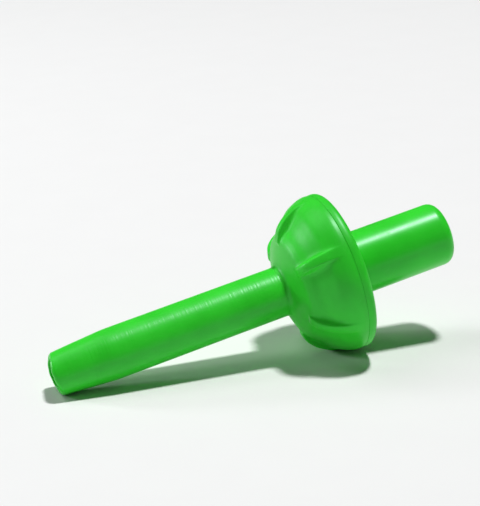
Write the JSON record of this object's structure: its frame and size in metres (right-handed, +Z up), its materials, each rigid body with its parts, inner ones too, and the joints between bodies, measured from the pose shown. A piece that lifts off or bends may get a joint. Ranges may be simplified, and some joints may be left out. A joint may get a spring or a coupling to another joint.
{
  "type": "breathing tube with valve flange",
  "caption": "Straight green plastic breathing tube with a tapered tip, a ribbed domed flange and a short wider connector behind it; a one-way flap valve sits inside the flange.",
  "frame": {"origin": "middle of the footprint on the floor the part lies on", "axes": "+Z up, +X from the tapered tip towards the wide connector, with the tube's own axis leaning up by 11.6 degrees towards +X because the part rests on its tip and its flange rim"},
  "size_m": [0.1444, 0.055, 0.0548],
  "materials": {
    "tube_green": "satin",
    "shell_green": "satin",
    "rear_green": "glossy",
    "silicone": "matt",
    "white_plastic": "satin"
  },
  "bodies": {
    "tube": {"front_tube": "tube_green"},
    "housing": {"front_shell": "shell_green", "neck_gasket": "silicone"},
    "rear": {"back_plate": "shell_green", "rear_tube": "rear_green", "rim_seal": "silicone", "valve_seat": "white_plastic", "flap_cage": "white_plastic"},
    "flap": {"valve_flap": "silicone"}
  },
  "joints": [
    {"name": "tube_pull", "type": "slide", "parent": "tube", "child": "housing", "axis": [0.9797, 0, 0.2007], "range_m": [0, 0.025]},
    {"name": "housing_open", "type": "slide", "parent": "housing", "child": "rear", "axis": [0.9797, 0, 0.2007], "range_m": [0, 0.045]},
    {"name": "flap_lift", "type": "slide", "parent": "rear", "child": "flap", "axis": [0.9797, 0, 0.2007], "range_m": [0, 0.0015]}
  ]
}
